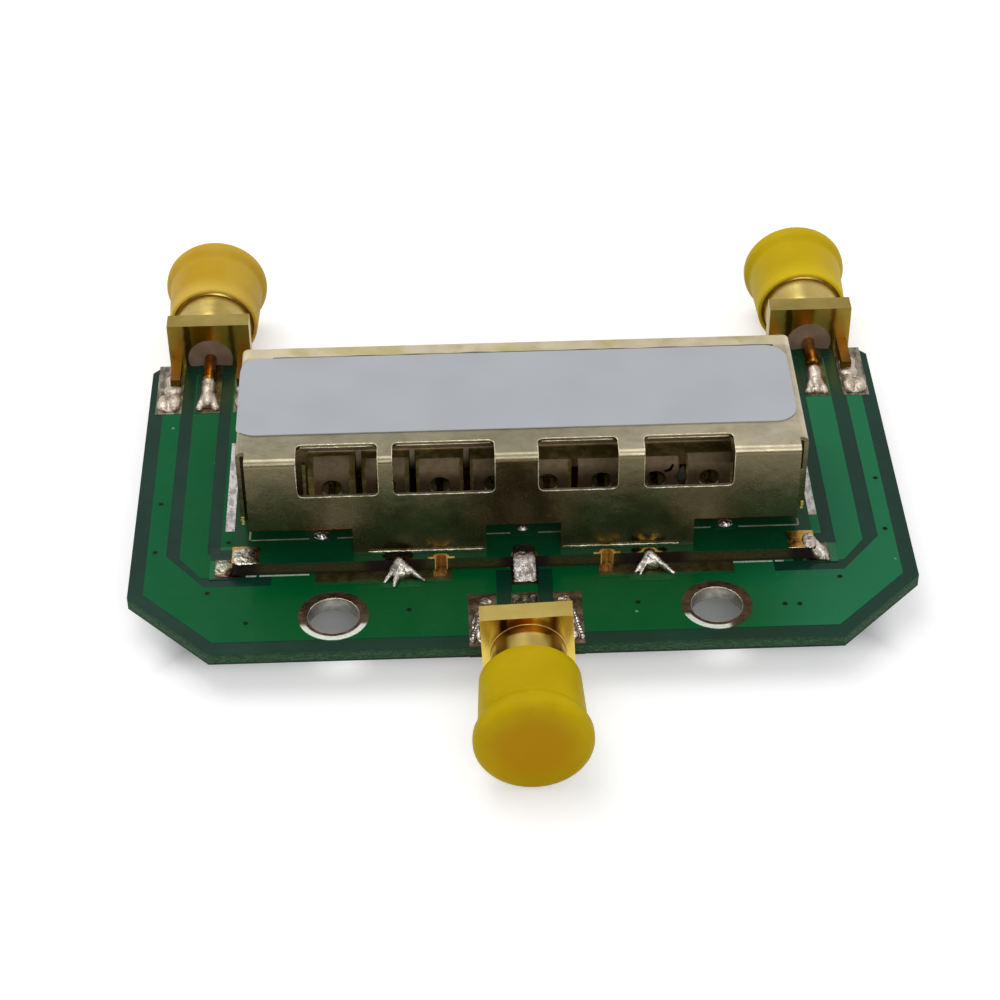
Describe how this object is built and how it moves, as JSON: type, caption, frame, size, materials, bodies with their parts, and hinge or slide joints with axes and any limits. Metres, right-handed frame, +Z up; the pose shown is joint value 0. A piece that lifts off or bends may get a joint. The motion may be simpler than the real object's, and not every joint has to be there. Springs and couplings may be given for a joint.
{
  "type": "duplexer",
  "caption": "Radio duplexer: ceramic resonators under a folded cover with windows, on a carrier board with edge-mounted coaxial ports under push-on dust caps.",
  "frame": {"origin": "under the middle of the carrier board, on the surface that the three cap rims stand on", "axes": "+X along the board's width, antenna port towards -Y, filter ports towards +Y, +Z up from the board"},
  "size_m": [0.056, 0.0544, 0.0129],
  "materials": {
    "board_green": "glossy solder mask on glass-fibre laminate",
    "tinned_copper": "dull tinned",
    "gold_plate": "gold plated, polished",
    "cover_metal": "satin nickel silver sheet",
    "label_grey": "smooth grey film",
    "resonator_ceramic": "silver-plated with bare brown face",
    "chip_ceramic": "fired ceramic",
    "solder": "bright, uneven",
    "insulator_white": "waxy",
    "cap_yellow": "soft, slightly translucent"
  },
  "bodies": {
    "module": {"carrier_board": "board_green", "carrier_pads": "tinned_copper", "filter_board": "board_green", "filter_pads": "gold_plate", "shield_cover": "cover_metal", "cover_label": "label_grey", "resonator_1": "resonator_ceramic", "resonator_2": "resonator_ceramic", "resonator_3": "resonator_ceramic", "resonator_4": "resonator_ceramic", "resonator_5": "resonator_ceramic", "resonator_6": "resonator_ceramic", "resonator_7": "resonator_ceramic", "resonator_8": "resonator_ceramic", "resonator_tabs": "tinned_copper", "ground_comb": "tinned_copper", "ground_strip": "tinned_copper", "coupling_capacitors": "chip_ceramic", "filter_solder": "solder", "antenna_solder": "solder", "left_solder": "solder", "right_solder": "solder", "antenna_connector": "gold_plate", "antenna_insulator": "insulator_white", "antenna_contact": "gold_plate", "left_connector": "gold_plate", "left_insulator": "insulator_white", "left_contact": "gold_plate", "right_connector": "gold_plate", "right_insulator": "insulator_white", "right_contact": "gold_plate"},
    "antenna_cap_body": {"antenna_cap": "cap_yellow"},
    "left_cap_body": {"left_cap": "cap_yellow"},
    "right_cap_body": {"right_cap": "cap_yellow"}
  },
  "joints": [
    {"name": "antenna_cap_pull", "type": "slide", "parent": "module", "child": "antenna_cap_body", "axis": [0, -1, 0], "range_m": [0, 0.006]},
    {"name": "left_cap_pull", "type": "slide", "parent": "module", "child": "left_cap_body", "axis": [0, 1, 0], "range_m": [0, 0.006]},
    {"name": "right_cap_pull", "type": "slide", "parent": "module", "child": "right_cap_body", "axis": [0, 1, 0], "range_m": [0, 0.006]}
  ]
}
